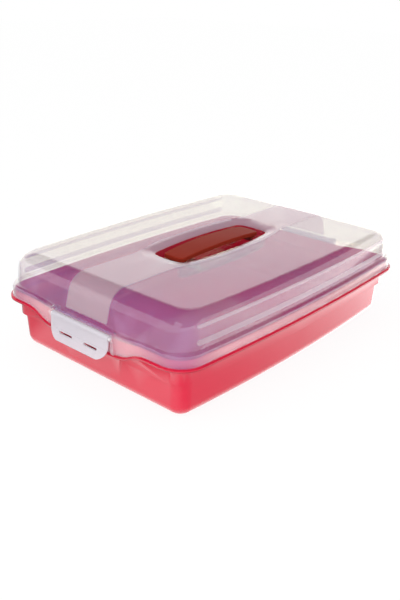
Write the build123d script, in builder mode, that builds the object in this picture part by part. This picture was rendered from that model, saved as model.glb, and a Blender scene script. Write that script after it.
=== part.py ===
"""Sheet-cake carrier: a red tray, a clear domed lid, a strap handle and two snap latches.

X runs along the carrier from latch to latch, Y across it and Z up. The origin is the middle of the
underside, so the tray stands on z = 0. All sizes are in millimetres.
"""

from build123d import *
import math
import os

# ---- Tray -----------------------------------------------------------------------------------------
rim_half_length = 225.0      # middle to the outer edge of the rim, along X
rim_half_width = 155.6       # middle to the rim's edge at its corners, along Y
side_bow = 8.3               # how far each long side swells past its corners
end_bow = 0.5                # the same for the short ends
rim_corner = 34.0            # plan radius of the rim's corners
rim_top = 70.2               # top of the rim, which the lid's skirt comes down on
rim_plate = 3.0              # thickness of the rim
rim_overhang = 12.4          # rim edge to the band wall below it
tray_wall = 2.2
ledge_height = 45.0          # underside of the step between the band and the lower wall
ledge_width = 3.7
lower_draft = 2.0            # how far the lower wall leans in on its way down
band_corner = 19.0
lower_corner = 18.5
bottom_round = 15.5          # fillet between the lower wall and the underside
foot_ring_width = 12.0       # flat ring that the tray stands on
foot_recess = 1.0
ridge_height = 8.6           # collar on the rim that the lid's skirt drops round
ridge_width = 1.6
ridge_clearance = 0.9

# ---- Dip of the rim under each latch ----------------------------------------------------------------
dip_depth = 13.2
dip_flat_half = 52.0         # the dip is level this far each side of the middle
dip_end_half = 104.0         # and has risen to the rim's height here

# ---- Panel below each latch -------------------------------------------------------------------------
panel_half_width = 48.5      # of its outer face, where it leaves the band
panel_flank = 4.5            # how much wider it is where it meets the lower wall
panel_narrowing = 5.5        # how much narrower each side gets towards the foot
panel_foot_height = 10.0     # here its face starts to curl under the tray
panel_end_height = 3.0       # and here it has gone into the round of the foot

# ---- Lid --------------------------------------------------------------------------------------------
lid_wall = 1.6
skirt_inset = 3.0            # rim edge to the outside of the skirt
lid_gap = 0.3                # skirt's lower edge to the rim
skirt_bead_height = 2.0      # thickened lower edge of the skirt
skirt_bead_reach = 0.8
shoulder_height = 85.5       # top of the shoulder round the foot of the dome
shoulder_round = 3.6
shoulder_dip = 4.0           # how far the shoulder drops towards each latch
dome_foot_inset_x = 7.0      # rim edge to the dome's foot at the ends
dome_foot_inset_y = 8.0      # and along the sides
dome_foot_corner = 32.0
lid_top = 124.0
top_inset_x = 36.5           # rim edge to the flat top at the ends
top_inset_y = 23.5
top_corner = 18.0
top_bow = 6.9
end_round = 25.0             # radius between the flat top and the end walls
side_round = 15.0            # and the side walls
dome_steps = 10              # outlines that the dome is drawn through

# ---- Handle well in the lid's top -------------------------------------------------------------------
well_half_length = 84.5      # to the ends of the well, at its corners
well_half_width = 26.0
well_side_bow = 7.5
well_end_bow = 3.5
well_corner = 12.0
well_depth = 25.0            # below the flat top
well_draft = 7.0             # degrees
well_lip_round = 2.6
well_floor_round = 5.0
dish_depth = 4.0             # the top slopes down this far all round to the well
dish_reach_x = 21.0          # from the well's ends to where the slope starts
dish_reach_y = 12.0
dish_extra_bow = 2.5
dish_corner = 27.0
pad_inner = 46.0             # the two pads that the handle stands on start here
pad_half_width = 19.5
pad_height = 13.0            # above the well's floor

# ---- Handle -----------------------------------------------------------------------------------------
handle_half_length = 77.0
handle_half_width = 15.8     # at its ends
handle_swell = 1.8           # more at its middle
handle_end_bow = 0.6
handle_corner = 4.0
handle_arch = 4.2            # rise of the middle over the ends
handle_depth = 5.2           # from its top to the lower edge of its sides
handle_skin = 2.6
handle_bevel = 0.8
handle_below_top = 3.6       # its ends lie this far below the lid's flat top
rib_count = 5
rib_spacing = 24.0
rib_thickness = 1.6
leg_centre = 69.0            # middle of each leg along X
leg_thickness = 2.6
leg_width = 22.0
foot_thickness = 6.5         # stouter foot of the leg, which stands on the pad
foot_width = 26.0
leg_clearance = 0.35         # leg to its slot in the pad
barb_reach = 0.9
barb_height = 3.0
barb_clearance = 0.3

# ---- Latch hinge on the lid -------------------------------------------------------------------------
roof_reach = 0.5             # rim edge to the front edge of the roof over the hinge
roof_front_height = 82.0
roof_thickness = 1.6
roof_half_width = 54.0
roof_narrowing = 7.0         # the roof is this much narrower at the dome
ear_thickness = 4.6
pin_reach = 1.3              # rim edge to the axis of the hinge
pin_radius = 1.7             # stub pins at the latch's ends, which snap into the ears
pin_clearance = 0.08
pin_length = 1.9             # how far a pin reaches into its ear
pin_end_gap = 0.3
boss_radius = 3.0            # of the ears round the pins
nib_radius = 1.0             # small nib at the middle of the roof's front edge
nib_height = 0.9

# ---- Latch ------------------------------------------------------------------------------------------
barrel_radius = 3.3
barrel_gap = 0.35            # barrel to the roof above it
barrel_groove = 2.8          # groove in its inner side that keeps its wall thin
barrel_end = 6.0             # solid end of the barrel, which carries a pin
latch_side_gap = 0.5         # latch to the ears
latch_wall = 1.9
latch_bottom = 49.5          # lower edge of the latch
lean_height = 22.0           # the plate bends outwards over this height above its lower edge
lean_reach = 6.0
latch_corner = 17.0
latch_top_corner = 1.2
window_length = 23.0         # two slots through the plate above the catches
window_centre = 21.5
window_height = 3.0
window_gap = 0.4             # catch to the window above it
field_depth = 0.4            # recessed field of the latch's face
field_border = 4.0
field_corner = 3.0
catch_gap = 0.4              # catch to the rim above it
catch_engagement = 1.8       # how far it reaches under the rim
catch_slope = 38.0           # degrees from level: it slides out from under the rim as the lid rises
catch_tip = 1.2              # height of the catch's blunt tip
catch_root = 3.6             # height of the catch where it leaves the plate

# ---- Sizes that follow ------------------------------------------------------------------------------
rim_under = rim_top - rim_plate
lower_inset = rim_overhang + ledge_width
foot_inset = lower_inset + lower_draft
skirt_bottom = rim_top + lid_gap
skirt_x = rim_half_length - skirt_inset
skirt_middle_x = skirt_x - lid_wall / 2
roof_front = rim_half_length + roof_reach
platform_slope = (shoulder_height - roof_front_height) / (roof_reach + dome_foot_inset_x)
pin_x = rim_half_length + pin_reach
pin_z = roof_front_height - roof_thickness - barrel_gap - barrel_radius
ear_inner = roof_half_width - ear_thickness
latch_half_width = ear_inner - latch_side_gap
plate_outer = pin_x + barrel_radius
plate_inner = plate_outer - latch_wall
lean_start = latch_bottom + lean_height
lean_radius = (lean_height ** 2 + lean_reach ** 2) / (2 * lean_reach)
catch_fall = math.tan(math.radians(catch_slope))
catch_at_rim = rim_under - dip_depth - catch_gap
catch_tip_x = rim_half_length + end_bow - catch_engagement
catch_tip_top = catch_at_rim - catch_engagement * catch_fall
catch_lean = lean_radius - math.sqrt(lean_radius ** 2 - (lean_start - catch_at_rim - catch_root) ** 2)
catch_root_x = plate_inner + catch_lean
catch_root_top = catch_at_rim + (catch_root_x - rim_half_length - end_bow) * catch_fall
window_bottom = catch_root_top + window_gap
well_floor = lid_top - well_depth
well_lip = lid_top - dish_depth
pad_top = well_floor + pad_height
handle_end_top = lid_top - handle_below_top
handle_end_under = handle_end_top - handle_depth
everything = 2 * rim_half_length
sky = lid_top + 20.0


def bowed_outline(half_length, half_width, length_bow, width_bow, corner, height):
    """A rectangle whose four sides swell outwards, with rounded corners, at the given height."""
    with BuildSketch(Plane.XY.offset(height)) as outline:
        with BuildLine():
            ThreePointArc((-half_length, -half_width), (0, -half_width - width_bow), (half_length, -half_width))
            ThreePointArc((half_length, -half_width), (half_length + length_bow, 0), (half_length, half_width))
            ThreePointArc((half_length, half_width), (0, half_width + width_bow), (-half_length, half_width))
            ThreePointArc((-half_length, half_width), (-half_length - length_bow, 0), (-half_length, -half_width))
        make_face()
        fillet(outline.vertices(), radius=corner)
    return outline.sketch


def rim_outline(inset, corner, height):
    """The rim's outline, moved in all round by inset."""
    return bowed_outline(rim_half_length - inset, rim_half_width - inset, end_bow, side_bow, corner, height)


def above_wave(level, depth):
    """Everything above a level surface that dips by depth at the middle of both ends."""
    low = level - depth
    half_way = ((dip_flat_half + dip_end_half) / 2, (low + level) / 2)
    far = rim_half_width + everything
    with BuildPart() as space:
        with BuildSketch(Plane.YZ):
            with BuildLine():
                Line((0, low), (dip_flat_half, low))
                TangentArc((dip_flat_half, low), half_way, tangent=(1, 0))
                TangentArc((dip_end_half, level), half_way, tangent=(-1, 0))
                Polyline((dip_end_half, level), (far, level), (far, sky), (0, sky), (0, low))
            make_face()
            mirror(about=Plane.YZ)
        extrude(amount=everything, both=True)
    return space.part


def rim_wall(outer_inset, inner_inset, low, high, high_dip):
    """A wall along the rim's outline, between two insets, whose foot dips with the rim and top by high_dip."""
    foot = low - dip_depth
    with BuildPart() as wall:
        extrude(rim_outline(outer_inset, rim_corner - outer_inset, foot), high - foot)
        extrude(rim_outline(inner_inset, rim_corner - inner_inset, foot), high - foot, mode=Mode.SUBTRACT)
        add(above_wave(low, dip_depth), mode=Mode.INTERSECT)
        add(above_wave(high, high_dip), mode=Mode.SUBTRACT)
    return wall.part


def side_prism(points, low_y, high_y):
    """A polygon drawn in the XZ plane and run along Y from low_y to high_y."""
    with BuildPart() as prism:
        with BuildSketch(Plane.XZ.offset(-low_y)):
            with BuildLine():
                Polyline(*points, close=True)
            make_face()
        extrude(amount=low_y - high_y)
    return prism.part


def latch_panel(shrink):
    """The panel below the latch at -X, or with shrink the space behind its wall."""
    heights = (ledge_height + rim_plate + shrink, panel_foot_height + shrink, panel_end_height + shrink)
    faces_out = (
        rim_half_length - rim_overhang,
        rim_half_length - foot_inset,
        rim_half_length - foot_inset - bottom_round / 2 + 1,
    )
    sections = []
    for height, face_x, narrowing in zip(heights, faces_out, (0, panel_narrowing, panel_narrowing)):
        front = face_x - shrink
        back = front - ledge_width
        half = panel_half_width - narrowing - shrink
        with BuildSketch(Plane.XY.offset(height)) as section:
            with BuildLine():
                Polyline(
                    (-front, -half), (-front, half), (-back, half + panel_flank),
                    (-back + foot_inset, half + panel_flank), (-back + foot_inset, -half - panel_flank),
                    (-back, -half - panel_flank), close=True,
                )
            make_face()
        sections.append(section.sketch)
    return loft(sections, ruled=True)


def tray_body(shrink):
    """The tray's outer body up to the rim's top, or with shrink the space inside its walls."""
    floor = shrink + (foot_recess if shrink else 0)
    ledge = ledge_height + shrink
    with BuildPart() as body:
        loft(
            [
                rim_outline(foot_inset + shrink, lower_corner - shrink, floor),
                rim_outline(lower_inset + shrink, lower_corner - shrink, ledge),
            ],
            ruled=True,
        )
        fillet(body.faces().sort_by(Axis.Z)[0].edges(), radius=bottom_round - shrink)
        band_top = sky if shrink else rim_top
        extrude(rim_outline(rim_overhang + shrink, band_corner - shrink, ledge), band_top - ledge)
        add(latch_panel(shrink))
        add(mirror(latch_panel(shrink), about=Plane.YZ, mode=Mode.PRIVATE))
    return body.part


def dome_inset(foot_inset_size, top_inset, radius, level, shrink):
    """How far a dome wall stands in at a height: a leaning wall that turns into the flat top by a round."""
    radius = radius - shrink
    centre_z = lid_top - shrink - radius
    foot = foot_inset_size + shrink
    across = foot - top_inset
    down = shoulder_height - centre_z
    tangent = math.atan2(down, across) - math.acos(radius / math.hypot(across, down))
    tangent_z = centre_z + radius * math.sin(tangent)
    if level >= tangent_z:
        return top_inset - math.sqrt(max(radius ** 2 - (level - centre_z) ** 2, 0))
    tangent_inset = top_inset + radius * math.cos(tangent)
    return foot + (tangent_inset - foot) * (level - shoulder_height) / (tangent_z - shoulder_height)


def dome(shrink):
    """The solid under the lid's dome, from the shoulder to the flat top, shrunk by shrink all round."""
    sections = []
    for step in range(dome_steps + 1):
        share = math.sin(math.pi / 2 * step / dome_steps)
        level = shoulder_height + (lid_top - shrink - shoulder_height) * share
        inset_x = dome_inset(dome_foot_inset_x, top_inset_x, end_round, level, shrink)
        inset_y = dome_inset(dome_foot_inset_y, top_inset_y, side_round, level, shrink)
        corner = dome_foot_corner + (top_corner - dome_foot_corner) * share - shrink
        bow = side_bow + (top_bow - side_bow) * share
        sections.append(
            bowed_outline(rim_half_length - inset_x, rim_half_width - inset_y, end_bow, bow, corner, level)
        )
    return loft(sections)


def well(grow):
    """The space of the handle's well, or with grow the solid round it, with its two pads left out."""
    floor = well_floor - grow
    lip = well_lip - grow
    draft_inset = (well_lip - well_floor) * math.tan(math.radians(well_draft))
    with BuildPart() as space:
        loft(
            [
                bowed_outline(well_half_length - inset + grow, well_half_width - inset + grow,
                              well_end_bow, well_side_bow, well_corner - inset + grow, level)
                for inset, level in ((draft_inset, floor), (0, lip))
            ]
        )
        fillet(space.faces().sort_by(Axis.Z)[0].edges(), radius=well_floor_round + grow)
        pad_end = well_half_length + well_end_bow + grow
        pad_start = pad_inner + grow
        with BuildSketch(Plane.XY.offset(floor)):
            with Locations(((pad_start + pad_end) / 2, 0), (-(pad_start + pad_end) / 2, 0)):
                Rectangle(pad_end - pad_start, 2 * (pad_half_width - grow))
        extrude(amount=pad_height, mode=Mode.SUBTRACT)
        # The shallow slope from the flat top down to the well.
        loft(
            [
                bowed_outline(well_half_length + grow, well_half_width + grow,
                              well_end_bow, well_side_bow, well_corner + grow, lip),
                bowed_outline(well_half_length + dish_reach_x, well_half_width + dish_reach_y,
                              well_end_bow, well_side_bow + dish_extra_bow, dish_corner, lid_top - grow),
            ]
        )
    return space.part


def hinge_platform(shrink):
    """The block over the latch hinge at -X, sloping from the dome to the roof's front edge."""
    front = skirt_x - shrink
    back = rim_half_length - dome_foot_inset_x - skirt_inset
    front_z = roof_front_height + platform_slope * (roof_front - skirt_x) - shrink
    back_z = front_z + platform_slope * (skirt_x - back)
    half = roof_half_width - shrink
    points = [(-front, skirt_bottom), (-front, front_z), (-back, back_z), (-back, skirt_bottom)]
    with BuildPart() as block:
        add(side_prism(points, -half, half))
        with BuildSketch(Plane.XY.offset(skirt_bottom)):
            with BuildLine():
                Polyline((-roof_front, -half), (-roof_front, half), (-back, half - roof_narrowing),
                         (-back, roof_narrowing - half), close=True)
            make_face()
        extrude(amount=sky, mode=Mode.INTERSECT)
    return block.part


def latch_hinge():
    """Roof and ears that the latch at -X hangs between, with a blind hole for a pin in each ear."""
    inside = -skirt_middle_x
    roof_back_top = roof_front_height + platform_slope * (roof_front - skirt_middle_x)
    roof_under = roof_front_height - roof_thickness
    ear_bottom = skirt_bottom - dip_depth
    roof = [(inside, roof_back_top - roof_thickness), (inside, roof_back_top),
            (-roof_front, roof_front_height), (-roof_front, roof_under)]
    ear = [(inside, ear_bottom), (inside, roof_back_top), (-roof_front, roof_front_height), (-roof_front, ear_bottom)]
    with BuildPart() as hinge:
        add(side_prism(roof, -roof_half_width, roof_half_width))
        add(side_prism(ear, -roof_half_width, -ear_inner))
        add(side_prism(ear, ear_inner, roof_half_width))
        with BuildSketch(Plane.XZ.offset(ear_inner), Plane.XZ.offset(-roof_half_width)):
            with Locations((-pin_x, pin_z)):
                Circle(boss_radius)
        extrude(amount=ear_thickness)
        with BuildSketch(Plane.XZ):
            with Locations((-pin_x, pin_z)):
                Circle(pin_radius + pin_clearance)
        extrude(amount=latch_half_width + pin_length + pin_end_gap, both=True, mode=Mode.SUBTRACT)
        with BuildSketch(Plane.XY.offset(roof_front_height)):
            with Locations((-roof_front, 0)):
                Circle(nib_radius)
        extrude(amount=-nib_height)
    return hinge.part


def lid_body(shrink):
    """The lid's outer body, or with shrink the space inside its walls."""
    skirt_top = shoulder_height - shrink
    bottom = skirt_bottom - dip_depth - shrink
    with BuildPart() as body:
        extrude(rim_outline(skirt_inset + shrink, rim_corner - skirt_inset - shrink, bottom), skirt_top - bottom)
        fillet(body.faces().sort_by(Axis.Z)[-1].edges(), radius=shoulder_round)
        add(above_wave(skirt_top, shoulder_dip), mode=Mode.SUBTRACT)
        add(hinge_platform(shrink))
        add(mirror(hinge_platform(shrink), about=Plane.YZ, mode=Mode.PRIVATE))
        foot = bowed_outline(rim_half_length - dome_foot_inset_x - shrink,
                             rim_half_width - dome_foot_inset_y - shrink,
                             end_bow, side_bow, dome_foot_corner - shrink, bottom)
        extrude(foot, shoulder_height - bottom)
        add(dome(shrink))
        add(well(shrink), mode=Mode.SUBTRACT)
        lip = body.edges().filter_by_position(Axis.Z, well_lip - shrink - 0.01, well_lip - shrink + 0.01)
        fillet(lip, radius=well_lip_round - shrink)
    return body.part


def strap(inset, drop):
    """The handle's arched strap, or with inset and drop the channel in its underside."""
    half_length = handle_half_length - inset
    half_width = handle_half_width - inset
    end_top = handle_end_top - drop
    end_under = handle_end_under - drop
    with BuildPart() as body:
        with BuildSketch(Plane.XZ):
            with BuildLine():
                ThreePointArc((-half_length, end_top), (0, end_top + handle_arch), (half_length, end_top))
                Line((half_length, end_top), (half_length, end_under))
                ThreePointArc((half_length, end_under), (0, end_under + handle_arch), (-half_length, end_under))
                Line((-half_length, end_under), (-half_length, end_top))
            make_face()
        extrude(amount=half_width + handle_swell, both=True)
        plan = bowed_outline(half_length - handle_end_bow, half_width, handle_end_bow, handle_swell,
                             handle_corner - inset, end_under)
        extrude(plan, handle_arch + handle_depth, mode=Mode.INTERSECT)
    return body.part


def plate_section(thickness, top):
    """Section of the latch's plate at -X, which hangs straight and then bends outwards, from its outer face in."""
    inner = plate_outer - thickness
    with BuildSketch(Plane.XZ) as section:
        with BuildLine():
            Polyline((-inner, lean_start), (-inner, top), (-plate_outer, top), (-plate_outer, lean_start))
            TangentArc((-plate_outer, lean_start), (-plate_outer - lean_reach, latch_bottom), tangent=(0, -1))
            Line((-plate_outer - lean_reach, latch_bottom), (-inner - lean_reach, latch_bottom))
            TangentArc((-inner, lean_start), (-inner - lean_reach, latch_bottom), tangent=(0, -1))
        make_face()
    return section.sketch


# ---- Tray -------------------------------------------------------------------------------------------
with BuildPart() as base_tray:
    add(tray_body(0))
    add(rim_wall(0, rim_overhang + tray_wall / 2, rim_under, rim_top, dip_depth))
    add(above_wave(rim_top, dip_depth), mode=Mode.SUBTRACT)
    # Collar that locates the lid's skirt.
    ridge_inset = skirt_inset + lid_wall + ridge_clearance
    add(rim_wall(ridge_inset, ridge_inset + ridge_width, rim_top - rim_plate / 2, rim_top + ridge_height, shoulder_dip))
    add(tray_body(tray_wall), mode=Mode.SUBTRACT)
    # Shallow recess that leaves a ring to stand on.
    extrude(rim_outline(foot_inset + bottom_round + foot_ring_width, lower_corner, 0), foot_recess, mode=Mode.SUBTRACT)

# ---- Lid --------------------------------------------------------------------------------------------
with BuildPart() as lid:
    add(lid_body(0))
    add(lid_body(lid_wall), mode=Mode.SUBTRACT)
    add(above_wave(skirt_bottom, dip_depth), mode=Mode.INTERSECT)
    # Thickened lower edge of the skirt.
    add(rim_wall(skirt_inset - skirt_bead_reach, skirt_inset + lid_wall / 2,
                 skirt_bottom, skirt_bottom + skirt_bead_height, dip_depth))
    add(latch_hinge())
    add(mirror(latch_hinge(), about=Plane.YZ, mode=Mode.PRIVATE))
    # Slots in the pads for the handle's legs.
    with BuildSketch(Plane.XY.offset(pad_top - 2 * lid_wall)):
        with Locations((-leg_centre, 0), (leg_centre, 0)):
            Rectangle(leg_thickness + 2 * leg_clearance, leg_width + 2 * leg_clearance)
    extrude(amount=3 * lid_wall, mode=Mode.SUBTRACT)

# ---- Handle -----------------------------------------------------------------------------------------
# Channel in the underside, interrupted by the cross ribs.
with BuildPart() as handle_channel:
    add(strap(handle_skin, handle_skin))
    with Locations((0, 0, handle_end_top)):
        with GridLocations(rib_spacing, 0, rib_count, 1):
            Box(rib_thickness, 2 * handle_half_width, 2 * handle_depth + 2 * handle_arch, mode=Mode.SUBTRACT)

with BuildPart() as handle:
    add(strap(0, 0))
    chamfer(handle.faces().sort_by(Axis.Z)[-1].edges(), length=handle_bevel)
    add(handle_channel.part, mode=Mode.SUBTRACT)
    with Locations((-leg_centre, 0), (leg_centre, 0)):
        # Foot on the pad, then the leg that passes through it and hooks behind it.
        foot_top = handle_end_top - handle_skin / 2
        with Locations((0, 0, (foot_top + pad_top) / 2)):
            Box(foot_thickness, foot_width, foot_top - pad_top)
        barb_top = pad_top - lid_wall - barb_clearance
        leg_bottom = barb_top - barb_height
        with Locations((0, 0, (foot_top + leg_bottom) / 2)):
            Box(leg_thickness, leg_width, foot_top - leg_bottom)
    for centre in (-leg_centre, leg_centre):
        top_half = leg_thickness / 2 + barb_reach
        barb = [(centre - top_half, barb_top), (centre + top_half, barb_top),
                (centre + leg_thickness / 2, leg_bottom), (centre - leg_thickness / 2, leg_bottom)]
        add(side_prism(barb, -leg_width / 2, leg_width / 2))

# ---- Latches ----------------------------------------------------------------------------------------
# The recessed field of the outer face, which follows its bend.
with BuildPart() as latch_field:
    field_bottom = window_bottom + window_height + field_border / 2
    field_top = pin_z - field_border / 2
    extrude(plate_section(field_depth, pin_z), amount=latch_half_width, both=True)
    with BuildSketch(Plane.YZ.offset(-everything)):
        with Locations((0, (field_bottom + field_top) / 2)):
            RectangleRounded(2 * (latch_half_width - field_border), field_top - field_bottom, field_corner)
    extrude(amount=everything, mode=Mode.INTERSECT)

with BuildPart() as latch_left:
    extrude(plate_section(latch_wall, pin_z), amount=latch_half_width, both=True)
    with BuildSketch(Plane.XZ):
        with Locations((-pin_x, pin_z)):
            Circle(barrel_radius)
    extrude(amount=latch_half_width, both=True)
    # Outline of the latch, seen from the end of the carrier.
    with BuildSketch(Plane.YZ.offset(-everything)):
        latch_top = pin_z + barrel_radius
        with Locations((0, (latch_top + latch_bottom) / 2)):
            outline = Rectangle(2 * latch_half_width, latch_top - latch_bottom)
        fillet(outline.vertices().group_by(Axis.Y)[0], radius=latch_corner)
        fillet(outline.vertices().group_by(Axis.Y)[-1], radius=latch_top_corner)
    extrude(amount=everything, mode=Mode.INTERSECT)
    # Two catches that hook under the rim.
    catch = [(-catch_root_x - latch_wall / 2, catch_root_top + latch_wall / 2 * catch_fall),
             (-catch_tip_x, catch_tip_top), (-catch_tip_x, catch_tip_top - catch_tip),
             (-catch_root_x - latch_wall, catch_root_top - catch_root)]
    add(side_prism(catch, -window_centre - window_length / 2, -window_centre + window_length / 2))
    add(side_prism(catch, window_centre - window_length / 2, window_centre + window_length / 2))
    add(latch_field.part, mode=Mode.SUBTRACT)
    # Windows above the catches.
    window_middle = window_bottom + window_height / 2
    with BuildSketch(Plane.YZ.offset(-plate_outer - lean_reach)):
        with Locations((-window_centre, window_middle), (window_centre, window_middle)):
            SlotOverall(window_length, window_height)
    extrude(amount=lean_reach + latch_wall + 1, mode=Mode.SUBTRACT)
    # Groove in the barrel, and the pins at its ends.
    with BuildSketch(Plane.XZ):
        with Locations((-pin_x, pin_z)):
            Circle(barrel_groove / 2)
            Rectangle(2 * barrel_radius, barrel_groove, align=(Align.MIN, Align.CENTER))
    extrude(amount=latch_half_width - barrel_end, both=True, mode=Mode.SUBTRACT)
    with BuildSketch(Plane.XZ.offset(-latch_half_width), Plane.XZ.offset(latch_half_width + pin_length)):
        with Locations((-pin_x, pin_z)):
            Circle(pin_radius)
    extrude(amount=-pin_length)

with BuildPart() as latch_right:
    add(mirror(latch_left.part, about=Plane.YZ, mode=Mode.PRIVATE))

os.makedirs("parts", exist_ok=True)

base_tray.part.label = "base_tray"
export_step(base_tray.part, "parts/base_tray.step")
lid.part.label = "lid"
export_step(lid.part, "parts/lid.step")
handle.part.label = "handle"
export_step(handle.part, "parts/handle.step")
latch_left.part.label = "latch_left"
export_step(latch_left.part, "parts/latch_left.step")
latch_right.part.label = "latch_right"
export_step(latch_right.part, "parts/latch_right.step")
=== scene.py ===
"""Looks of the sheet-cake carrier: red tray, clear lid with a frosted band, strap handle and milky latches."""

import math

import bmesh
import bpy
from mathutils import Matrix, Vector


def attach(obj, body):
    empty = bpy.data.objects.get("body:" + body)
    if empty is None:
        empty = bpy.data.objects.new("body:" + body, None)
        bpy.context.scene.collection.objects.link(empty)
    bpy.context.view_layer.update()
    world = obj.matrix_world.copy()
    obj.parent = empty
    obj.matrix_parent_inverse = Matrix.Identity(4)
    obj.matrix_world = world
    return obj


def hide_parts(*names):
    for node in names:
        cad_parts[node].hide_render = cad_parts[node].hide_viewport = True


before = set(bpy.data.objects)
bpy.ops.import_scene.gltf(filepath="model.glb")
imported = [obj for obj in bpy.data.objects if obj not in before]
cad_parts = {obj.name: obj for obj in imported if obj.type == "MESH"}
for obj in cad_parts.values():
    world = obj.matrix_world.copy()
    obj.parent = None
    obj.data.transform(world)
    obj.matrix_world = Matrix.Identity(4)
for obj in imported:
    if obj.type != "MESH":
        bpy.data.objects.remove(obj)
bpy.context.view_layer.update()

MM = 0.001

# Camera: direction and distance from a point on the carrier's axis.
IMAGE_HEIGHT = 600
SENSOR = 36.0
CAMERA_AZIMUTH = math.radians(49.38)
CAMERA_ELEVATION = math.radians(22.42)
CAMERA_ROLL = math.radians(1.38)
CAMERA_DISTANCE = 1.0018
CAMERA_TARGET = Vector((0, 0, 0.06))
FOCAL_PIXELS = 741.8
SHIFT_PIXELS = (11.8, -16.0)

# The room, as reflections see it: white up to the sine of 25 degrees, a dark ceiling from the sine of 31.
ROOM_LIGHT = 0.78
WHITE_TOP = 0.43
CEILING_FOOT = 0.52
WHITE_GLOW = 1.28
CEILING_GLOW = 0.04

# The table, as reflections see it, in metres: strips that glow only for reflections and paint them on the tray's walls,
# bright beside the carrier, with a dimmer gap that the tray's band mirrors darker, brighter towards the right, and a
# patch close to the near end. Each pair is where a strip starts and where it is full.
TABLE_GLOW = 0.6
STRIP_BESIDE = (0.258, 0.236)
STRIP_BEYOND = (0.280, 0.305)
BEYOND_GLOW = 1.2
TOWARDS_RIGHT = (-0.25, 0.30)
RIGHT_GLOW = 1.7
PATCH_ALONG = (-0.260, -0.238)
PATCH_ACROSS = (0.17, 0.13)

# Frosted band of the lid, in metres: it runs from latch to latch and widens to an eye round the handle's well.
BAND_HALF = 0.0350
BAND_FOOT = 0.0862
EYE_HALF = 0.0480
EYE_END = 0.112
END_START = 0.150

# The lid's well: half its length and width, with the slope round it, and the height of its lip.
WELL_END = 0.100
WELL_SIDE = 0.045
WELL_LIP = 0.1188
# How much the well mirrors: less, as painted shade under the handle.
WELL_SHADE_MIRROR = 0.25

# Two narrow stripes along each long wall of the lid, painted reflections drawn with the frost: middle height and half
# height.
PAINTED_STRIPES = ((0.1110, 0.0019), (0.0930, 0.0031))
STRIPE_END = 0.190
STRIPE_WALL = 0.128
STRIPE_SHARE = 0.8

# The lid is cloudier towards its ends, and in the skirt, which starts below this height and is clearer at its corners.
NEAR_END = (0.16, 0.21)
NEAR_SIDE = (0.08, 0.14)
SKIRT_TOP = 0.0800
SKIRT_FADE = 0.002
CORNER_CLOUD = 0.15

# How fast the lid greys where it is seen edge on, and how much more its frost shines than its polish.
EDGE_FALLOFF = 9.0
FROST_SHEEN = 1.4

# Patterns of the mouldings. The matt tool's real grain is finer, and is drawn this coarse so that it shows.
FLOW_MARK = 62.5 * MM
TOOL_GRAIN = 0.4 * MM
GRAIN_DEPTH = 0.05 * MM
GRAIN_STRENGTH = 0.08
SHEEN_SPREAD = 0.04
STREAK_LENGTH = 667 * MM
STREAK_SPACING = 22.2 * MM

PLASTIC_INDEX = 1.49


def linear(hex_code):
    """An sRGB hex colour as a linear RGBA value."""
    channels = [int(hex_code[i:i + 2], 16) / 255 for i in (1, 3, 5)]
    return [c / 12.92 if c <= 0.04045 else ((c + 0.055) / 1.055) ** 2.4 for c in channels] + [1.0]


def node(tree, kind, inputs=None, **settings):
    """Adds a node, sets its properties, and fills its inputs with values or with links from other nodes."""
    new = tree.nodes.new(kind)
    for key, value in settings.items():
        setattr(new, key, value)
    for key, value in (inputs or {}).items():
        if isinstance(value, bpy.types.NodeSocket):
            tree.links.new(value, new.inputs[key])
        else:
            new.inputs[key].default_value = value
    return new


def new_material(name):
    """An empty node material and its tree, with only an output."""
    material = bpy.data.materials.new(name)
    material.use_nodes = True
    material.node_tree.nodes.clear()
    return material, material.node_tree


def camera():
    """The camera at the viewing angle, with a small shift that frames the carrier."""
    data = bpy.data.cameras.new("camera")
    data.lens = FOCAL_PIXELS * SENSOR / IMAGE_HEIGHT
    data.sensor_width = SENSOR
    data.shift_x = -SHIFT_PIXELS[0] / IMAGE_HEIGHT
    data.shift_y = SHIFT_PIXELS[1] / IMAGE_HEIGHT
    data.clip_start = 0.05
    back = Vector((-math.sin(CAMERA_AZIMUTH) * math.cos(CAMERA_ELEVATION),
                   -math.cos(CAMERA_AZIMUTH) * math.cos(CAMERA_ELEVATION),
                   math.sin(CAMERA_ELEVATION)))
    right = Vector((0, 0, 1)).cross(back).normalized()
    up = back.cross(right)
    right_rolled = right * math.cos(CAMERA_ROLL) + up * math.sin(CAMERA_ROLL)
    up_rolled = up * math.cos(CAMERA_ROLL) - right * math.sin(CAMERA_ROLL)
    turn = Matrix((right_rolled, up_rolled, back)).transposed().to_4x4()
    camera_object = bpy.data.objects.new("camera", data)
    camera_object.matrix_world = Matrix.Translation(CAMERA_TARGET + back * CAMERA_DISTANCE) @ turn
    bpy.context.collection.objects.link(camera_object)
    bpy.context.scene.camera = camera_object


def softbox(name, place, aim, size, radiance, mirrored=True):
    """A rectangular lamp at a place, turned to aim, of a size in metres and a brightness where 1 is white."""
    data = bpy.data.lights.new(name, "AREA")
    data.shape = "RECTANGLE"
    data.size, data.size_y = size
    data.energy = radiance * math.pi * size[0] * size[1]
    lamp = bpy.data.objects.new(name, data)
    lamp.location = place
    lamp.rotation_euler = (Vector(aim) - Vector(place)).to_track_quat("-Z", "Y").to_euler()
    lamp.visible_glossy = mirrored
    bpy.context.collection.objects.link(lamp)


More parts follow.
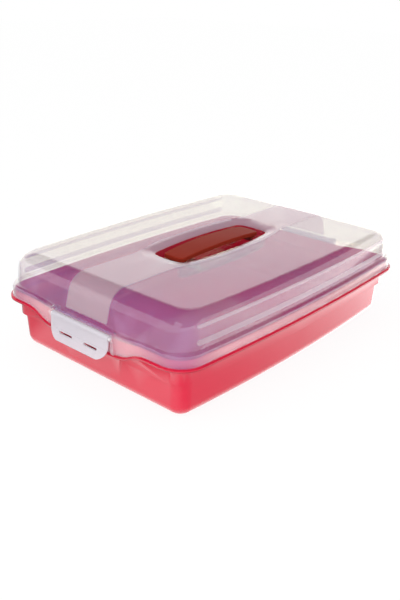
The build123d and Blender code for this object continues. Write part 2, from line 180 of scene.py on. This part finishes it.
def white_room():
    """Surroundings that are white to the eye and near the horizon, with a dark ceiling for reflections."""
    world = bpy.data.worlds.new("white_room")
    bpy.context.scene.world = world
    world.use_nodes = True
    tree = world.node_tree
    tree.nodes.clear()
    path = node(tree, "ShaderNodeLightPath")
    direction = node(tree, "ShaderNodeTexCoord")
    axes = node(tree, "ShaderNodeSeparateXYZ", {0: direction.outputs["Generated"]})
    glow = node(tree, "ShaderNodeMapRange", {"Value": axes.outputs["Z"], "From Min": WHITE_TOP,
                                             "From Max": CEILING_FOOT, "To Min": WHITE_GLOW, "To Max": CEILING_GLOW},
                interpolation_type="SMOOTHSTEP")
    ambient = node(tree, "ShaderNodeBackground", {"Color": linear("#FFFFFF"), "Strength": ROOM_LIGHT})
    white = node(tree, "ShaderNodeBackground", {"Color": linear("#FFFFFF"), "Strength": 1.0})
    mirrored = node(tree, "ShaderNodeBackground", {"Color": linear("#FFFFFF"), "Strength": glow.outputs[0]})
    direct = node(tree, "ShaderNodeMath", {0: path.outputs["Is Camera Ray"], 1: path.outputs["Is Transmission Ray"]},
                  operation="MAXIMUM")
    seen = node(tree, "ShaderNodeMixShader", {0: direct.outputs[0], 1: ambient.outputs[0], 2: white.outputs[0]})
    mix = node(tree, "ShaderNodeMixShader", {0: path.outputs["Is Glossy Ray"], 1: seen.outputs[0],
                                             2: mirrored.outputs[0]})
    node(tree, "ShaderNodeOutputWorld", {"Surface": mix.outputs[0]})


def table():
    """A plain white table that keeps a faint shadow, and that glows in strips seen only by reflections, which paint
    pale and dark reflections on the tray.
    """
    bpy.ops.mesh.primitive_plane_add(size=12, location=(0, 0, -0.0004))
    floor = bpy.context.object
    floor.name = "floor"
    material, tree = new_material("white_table")
    path = node(tree, "ShaderNodeLightPath")
    place = node(tree, "ShaderNodeTexCoord")
    axes = node(tree, "ShaderNodeSeparateXYZ", {0: place.outputs["Object"]})
    across = node(tree, "ShaderNodeMath", {0: axes.outputs["Y"]}, operation="ABSOLUTE")
    ramps = []
    for value, (start, full), strength in ((across.outputs[0], STRIP_BESIDE, 1.0),
                                           (across.outputs[0], STRIP_BEYOND, BEYOND_GLOW),
                                           (axes.outputs["X"], TOWARDS_RIGHT, RIGHT_GLOW),
                                           (axes.outputs["X"], PATCH_ALONG, 1.0),
                                           (across.outputs[0], PATCH_ACROSS, 1.0)):
        ramp = node(tree, "ShaderNodeMapRange", {"Value": value, "From Min": start, "From Max": full,
                                                 "To Max": strength}, interpolation_type="SMOOTHSTEP")
        ramps.append(ramp.outputs[0])
    beside, beyond, right, patch_along, patch_across = ramps
    strips = node(tree, "ShaderNodeMath", {0: beside, 1: beyond}, operation="ADD")
    reflection_glow = node(tree, "ShaderNodeMath", {0: strips.outputs[0], 1: right, 2: TABLE_GLOW}, operation="MULTIPLY_ADD")
    # The patch paints a pale reflection on the tray's lower edge at the near end.
    reflection_glow = node(tree, "ShaderNodeMath", {0: patch_along, 1: patch_across, 2: reflection_glow.outputs[0]},
               operation="MULTIPLY_ADD")
    matte = node(tree, "ShaderNodeBsdfDiffuse", {"Color": linear("#F4F4F4")})
    pale = node(tree, "ShaderNodeBsdfDiffuse", {"Color": linear("#585858")})
    glow = node(tree, "ShaderNodeEmission", {"Color": linear("#FFFFFF"), "Strength": 0.92})
    lifted = node(tree, "ShaderNodeAddShader", {0: pale.outputs[0], 1: glow.outputs[0]})
    # The glow that reflections see: painted reflections on the tray's walls.
    mirrored = node(tree, "ShaderNodeEmission", {"Color": linear("#FFFFFF"), "Strength": reflection_glow.outputs[0]})
    direct = node(tree, "ShaderNodeMath", {0: path.outputs["Is Camera Ray"], 1: path.outputs["Is Transmission Ray"]},
                  operation="MAXIMUM")
    seen = node(tree, "ShaderNodeMixShader", {0: direct.outputs[0], 1: matte.outputs[0], 2: lifted.outputs[0]})
    mix = node(tree, "ShaderNodeMixShader", {0: path.outputs["Is Glossy Ray"], 1: seen.outputs[0],
                                             2: mirrored.outputs[0]})
    node(tree, "ShaderNodeOutputMaterial", {"Surface": mix.outputs[0]})
    floor.data.materials.append(material)


def moulded_plastic(name, colour, second_colour, roughness, mirror=0.5, milky=0.0):
    """Injection-moulded polypropylene: even pigment with faint flow marks, and the fine skin of a matt tool.

    Milky is how much of the light that falls on one side comes out on the other.
    """
    material, tree = new_material(name)
    place = node(tree, "ShaderNodeTexCoord")
    flow = node(tree, "ShaderNodeTexNoise", {"Vector": place.outputs["Object"], "Scale": 1 / FLOW_MARK,
                                             "Detail": 2.0})
    pigment = node(tree, "ShaderNodeMix", {0: flow.outputs["Fac"], 6: linear(colour), 7: linear(second_colour)},
                   data_type="RGBA")
    grain = node(tree, "ShaderNodeTexNoise", {"Vector": place.outputs["Object"], "Scale": 1 / TOOL_GRAIN,
                                              "Detail": 1.0})
    skin = node(tree, "ShaderNodeBump", {"Height": grain.outputs["Fac"], "Strength": GRAIN_STRENGTH,
                                          "Distance": GRAIN_DEPTH})
    sheen = node(tree, "ShaderNodeMapRange", {"Value": flow.outputs["Fac"], "To Min": roughness - SHEEN_SPREAD,
                                              "To Max": roughness + SHEEN_SPREAD})
    shader = node(tree, "ShaderNodeBsdfPrincipled",
                  {"Base Color": pigment.outputs[2], "Roughness": sheen.outputs[0], "Normal": skin.outputs[0],
                   "IOR": PLASTIC_INDEX, "Specular IOR Level": mirror})
    surface = shader.outputs[0]
    if milky:
        glow = node(tree, "ShaderNodeBsdfTranslucent", {"Color": pigment.outputs[2]})
        clear_part = node(tree, "ShaderNodeBsdfTransparent", {"Color": linear("#FFFFFF")})
        inner = node(tree, "ShaderNodeMixShader", {0: 0.25, 1: glow.outputs[0], 2: clear_part.outputs[0]})
        surface = node(tree, "ShaderNodeMixShader", {0: milky, 1: surface, 2: inner.outputs[0]}).outputs[0]
    node(tree, "ShaderNodeOutputMaterial", {"Surface": surface})
    return material


def frosted_mask(tree, axes):
    """1 where the lid's tool was textured: a band from latch to latch that widens round the handle's well."""
    across = node(tree, "ShaderNodeMath", {0: axes.outputs["Y"]}, operation="ABSOLUTE").outputs[0]
    along = node(tree, "ShaderNodeMath", {0: axes.outputs["X"]}, operation="ABSOLUTE").outputs[0]
    share = node(tree, "ShaderNodeMath", {0: along, 1: EYE_END}, operation="DIVIDE").outputs[0]
    squared = node(tree, "ShaderNodeMath", {0: share, 1: 2.0}, operation="POWER").outputs[0]
    half = node(tree, "ShaderNodeMapRange", {"Value": squared, "From Min": 1.0, "From Max": 0.0,
                                             "To Min": BAND_HALF, "To Max": EYE_HALF},
                interpolation_type="SMOOTHSTEP").outputs[0]
    in_band = node(tree, "ShaderNodeMath", {0: across, 1: half}, operation="LESS_THAN").outputs[0]
    above_foot = node(tree, "ShaderNodeMath", {0: axes.outputs["Z"], 1: BAND_FOOT}, operation="GREATER_THAN").outputs[0]
    band = node(tree, "ShaderNodeMath", {0: in_band, 1: above_foot}, operation="MULTIPLY").outputs[0]
    on_end = node(tree, "ShaderNodeMath", {0: along, 1: END_START}, operation="GREATER_THAN").outputs[0]
    above_lip = node(tree, "ShaderNodeMath", {0: axes.outputs["Z"], 1: WELL_LIP}, operation="GREATER_THAN").outputs[0]
    outside = node(tree, "ShaderNodeMath", {0: on_end, 1: above_lip}, operation="MAXIMUM").outputs[0]
    return node(tree, "ShaderNodeMath", {0: band, 1: outside}, operation="MULTIPLY").outputs[0]


def painted_stripe_mask(tree, axes):
    """1 on the two stripes along each long wall, which end in half rounds: painted reflections, drawn with the frost.
    """
    across = node(tree, "ShaderNodeMath", {0: axes.outputs["Y"]}, operation="ABSOLUTE").outputs[0]
    on_wall = node(tree, "ShaderNodeMath", {0: across, 1: STRIPE_WALL}, operation="GREATER_THAN").outputs[0]
    along = node(tree, "ShaderNodeMath", {0: axes.outputs["X"]}, operation="ABSOLUTE").outputs[0]
    past = node(tree, "ShaderNodeMath", {0: along, 1: STRIPE_END}, operation="SUBTRACT").outputs[0]
    past_end = node(tree, "ShaderNodeMath", {0: past, 1: 0.0}, operation="MAXIMUM").outputs[0]
    total = 0.0
    for height, half in PAINTED_STRIPES:
        offset = node(tree, "ShaderNodeMath", {0: axes.outputs["Z"], 1: height}, operation="SUBTRACT").outputs[0]
        apart = node(tree, "ShaderNodeCombineXYZ", {0: past_end, 1: offset})
        distance = node(tree, "ShaderNodeVectorMath", {0: apart.outputs[0]}, operation="LENGTH").outputs["Value"]
        inside = node(tree, "ShaderNodeMapRange", {"Value": distance, "From Min": half * 1.15, "From Max": half * 0.85},
                      interpolation_type="SMOOTHSTEP").outputs[0]
        total = node(tree, "ShaderNodeMath", {0: total, 1: inside}, operation="ADD").outputs[0]
    return node(tree, "ShaderNodeMath", {0: total, 1: on_wall}, operation="MULTIPLY").outputs[0]


def clear_plastic():
    """Clarified polypropylene, thin and polished, slightly hazy, with a frosted band where the tool was textured.

    Its walls are too thin to bend what is seen through them, so each surface lets light through, scatters
    a little of it, bluish, and mirrors as a plastic does.
    """
    material, tree = new_material("clear_polypropylene")
    place = node(tree, "ShaderNodeTexCoord")
    axes = node(tree, "ShaderNodeSeparateXYZ", {0: place.outputs["Object"]})
    path = node(tree, "ShaderNodeLightPath")

    # What a surface of this index mirrors, the same from both of its sides.
    side = node(tree, "ShaderNodeNewGeometry")
    index = node(tree, "ShaderNodeMapRange", {"Value": side.outputs["Backfacing"], "To Min": PLASTIC_INDEX,
                                              "To Max": 1 / PLASTIC_INDEX})
    fresnel = node(tree, "ShaderNodeFresnel", {"IOR": index.outputs[0]})

    # The well under the handle is painted in shade: it mirrors and clouds less than the rest.
    along = node(tree, "ShaderNodeMath", {0: axes.outputs["X"]}, operation="ABSOLUTE")
    across = node(tree, "ShaderNodeMath", {0: axes.outputs["Y"]}, operation="ABSOLUTE")
    between_ends = node(tree, "ShaderNodeMath", {0: along.outputs[0], 1: WELL_END}, operation="LESS_THAN")
    between_sides = node(tree, "ShaderNodeMath", {0: across.outputs[0], 1: WELL_SIDE}, operation="LESS_THAN")
    under_lip = node(tree, "ShaderNodeMath", {0: axes.outputs["Z"], 1: WELL_LIP}, operation="LESS_THAN")
    in_plan = node(tree, "ShaderNodeMath", {0: between_ends.outputs[0], 1: between_sides.outputs[0]},
                   operation="MULTIPLY")
    well = node(tree, "ShaderNodeMath", {0: in_plan.outputs[0], 1: under_lip.outputs[0]}, operation="MULTIPLY")
    share = node(tree, "ShaderNodeMapRange", {"Value": well.outputs[0], "To Min": 1.0, "To Max": WELL_SHADE_MIRROR})
    mirror = node(tree, "ShaderNodeMath", {0: fresnel.outputs[0], 1: share.outputs[0]}, operation="MULTIPLY").outputs[0]

    # Light loses more on its way in than the eye loses, because the haze sends part of it back.
    graze = node(tree, "ShaderNodeLayerWeight", {"Blend": 0.5})
    edge = node(tree, "ShaderNodeMath", {0: graze.outputs["Facing"], 1: EDGE_FALLOFF}, operation="POWER")
    seen = node(tree, "ShaderNodeMix", {0: edge.outputs[0], 6: linear("#F3F2EA"), 7: linear("#9A9C98")},
                data_type="RGBA")
    lighting = node(tree, "ShaderNodeMath", {0: path.outputs["Is Shadow Ray"], 1: path.outputs["Is Diffuse Ray"]},
                    operation="MAXIMUM")
    tint = node(tree, "ShaderNodeMix", {0: lighting.outputs[0], 6: seen.outputs[2], 7: linear("#E6E5E3")},
                data_type="RGBA")
    through = node(tree, "ShaderNodeBsdfTransparent", {"Color": tint.outputs[2]})

    # Haze in the melt, drawn out in streaks along the lid.
    stretch = node(tree, "ShaderNodeMapping",
                   {"Vector": place.outputs["Object"],
                    "Scale": (1 / STREAK_LENGTH, 1 / STREAK_SPACING, 1 / STREAK_SPACING)})
    streaks = node(tree, "ShaderNodeTexNoise", {"Vector": stretch.outputs[0], "Scale": 1.0, "Detail": 1.0})
    streak = node(tree, "ShaderNodeMapRange", {"Value": streaks.outputs["Fac"], "From Min": 0.5, "From Max": 0.75})
    melt = node(tree, "ShaderNodeMix", {0: streak.outputs[0], 6: linear("#3C385A"), 7: linear("#484462")},
                data_type="RGBA")
    near_end = node(tree, "ShaderNodeMapRange", {"Value": along.outputs[0], "From Min": NEAR_END[0],
                                                 "From Max": NEAR_END[1]})
    # The end walls are cloudier.
    melt_end = node(tree, "ShaderNodeMix", {0: streak.outputs[0], 6: linear("#423E64"), 7: linear("#524E72")},
                    data_type="RGBA")
    melt = node(tree, "ShaderNodeMix", {0: near_end.outputs[0], 6: melt.outputs[2], 7: melt_end.outputs[2]},
                data_type="RGBA")
    # Painted shade: the haze in the well under the handle is darker.
    melt = node(tree, "ShaderNodeMix", {0: well.outputs[0], 6: melt.outputs[2], 7: linear("#1A1924")},
                data_type="RGBA")

    # The skirt is cloudy all round, but for the corners.
    near_side = node(tree, "ShaderNodeMapRange", {"Value": across.outputs[0], "From Min": NEAR_SIDE[0],
                                                  "From Max": NEAR_SIDE[1]})
    corner = node(tree, "ShaderNodeMath", {0: near_end.outputs[0], 1: near_side.outputs[0]}, operation="MULTIPLY")
    dense = node(tree, "ShaderNodeMapRange", {"Value": corner.outputs[0], "To Min": 1.0,
                                              "To Max": CORNER_CLOUD})
    below = node(tree, "ShaderNodeMapRange", {"Value": axes.outputs["Z"], "From Min": SKIRT_TOP + SKIRT_FADE,
                                              "From Max": SKIRT_TOP - SKIRT_FADE})
    low = node(tree, "ShaderNodeMath", {0: below.outputs[0], 1: dense.outputs[0]}, operation="MULTIPLY")
    cloudy = node(tree, "ShaderNodeMix", {0: low.outputs[0], 6: melt.outputs[2], 7: linear("#7C7C86")},
                  data_type="RGBA")
    haze = node(tree, "ShaderNodeBsdfDiffuse", {"Color": cloudy.outputs[2]})

    body = node(tree, "ShaderNodeAddShader", {0: through.outputs[0], 1: haze.outputs[0]})
    gloss = node(tree, "ShaderNodeBsdfGlossy", {"Color": linear("#FFFFFF"), "Roughness": 0.03})
    clear = node(tree, "ShaderNodeMixShader", {0: mirror, 1: body.outputs[0], 2: gloss.outputs[0]})

    # The frost is a fine matt texture: it blurs and scatters light both ways.
    veil_through = node(tree, "ShaderNodeBsdfTransparent", {"Color": linear("#BCB5B1")})
    veil_front = node(tree, "ShaderNodeBsdfDiffuse", {"Color": linear("#7E7684")})
    veil_back = node(tree, "ShaderNodeBsdfTranslucent", {"Color": linear("#787878")})
    veil = node(tree, "ShaderNodeAddShader", {0: veil_front.outputs[0], 1: veil_back.outputs[0]})
    veil = node(tree, "ShaderNodeAddShader", {0: veil_through.outputs[0], 1: veil.outputs[0]})
    satin = node(tree, "ShaderNodeBsdfGlossy", {"Color": linear("#FFFFFF"), "Roughness": 0.2})
    sheen = node(tree, "ShaderNodeMath", {0: mirror, 1: FROST_SHEEN}, operation="MULTIPLY")
    frost = node(tree, "ShaderNodeMixShader", {0: sheen.outputs[0], 1: veil.outputs[0], 2: satin.outputs[0]})
    # The stripes are painted reflections: they take the frost's pale sheen and haze. Textured below covers the frost
    # and these painted stripes.
    stripes = node(tree, "ShaderNodeMath", {0: painted_stripe_mask(tree, axes), 1: STRIPE_SHARE}, operation="MULTIPLY")
    textured = node(tree, "ShaderNodeMath", {0: frosted_mask(tree, axes), 1: stripes.outputs[0]}, operation="MAXIMUM")
    mix = node(tree, "ShaderNodeMixShader", {0: textured.outputs[0], 1: clear.outputs[0], 2: frost.outputs[0]})
    node(tree, "ShaderNodeOutputMaterial", {"Surface": mix.outputs[0]})
    return material


def smoothed_copy(name, body, angle_deg):
    """A merged and smooth-shaded copy of a CAD node, which is shown in the node's place."""
    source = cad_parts[name]
    copy = source.copy()
    copy.data = source.data.copy()
    copy.name = name + "_moulding"
    copy.parent = None
    bpy.context.collection.objects.link(copy)
    mesh = bmesh.new()
    mesh.from_mesh(copy.data)
    bmesh.ops.remove_doubles(mesh, verts=mesh.verts, dist=0.002 * MM)
    mesh.to_mesh(copy.data)
    mesh.free()
    copy.data.shade_smooth()
    copy.data.set_sharp_from_angle(angle=math.radians(angle_deg))
    even = copy.modifiers.new("even_shading", "WEIGHTED_NORMAL")
    even.keep_sharp = True
    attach(copy, body)
    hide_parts(name)
    return copy


def dress(piece, material):
    """Gives a piece its one material."""
    piece.data.materials.clear()
    piece.data.materials.append(material)


camera()
white_room()
table()
softbox("softbox_above", (-1.2, 0.1, 1.1), (0, 0, 0), (1.0, 0.8), 1.2)
softbox("softbox_front", (-0.75, -0.75, 0.40), (-0.2, -0.1, 0.05), (0.5, 0.5), 3.6, mirrored=False)

red = moulded_plastic("red_polypropylene", "#DF2042", "#D71B3C", 0.16)
brown_red = moulded_plastic("brown_red_polypropylene", "#983222", "#8A2A1C", 0.42, mirror=0.03)
milky = moulded_plastic("milky_polypropylene", "#F2EEF4", "#ECE8F0", 0.30, milky=0.35)
clear = clear_plastic()
dress(smoothed_copy("base_tray", "base", 50), red)
dress(smoothed_copy("lid", "lid", 30), clear)
dress(smoothed_copy("handle", "lid", 30), brown_red)
dress(smoothed_copy("latch_left", "latch_left", 30), milky)
dress(smoothed_copy("latch_right", "latch_right", 30), milky)

# A line of sight through the well crosses ten of the lid's surfaces.
bpy.context.scene.cycles.transparent_max_bounces = 24

view = bpy.context.scene.view_settings
view.view_transform = "Standard"
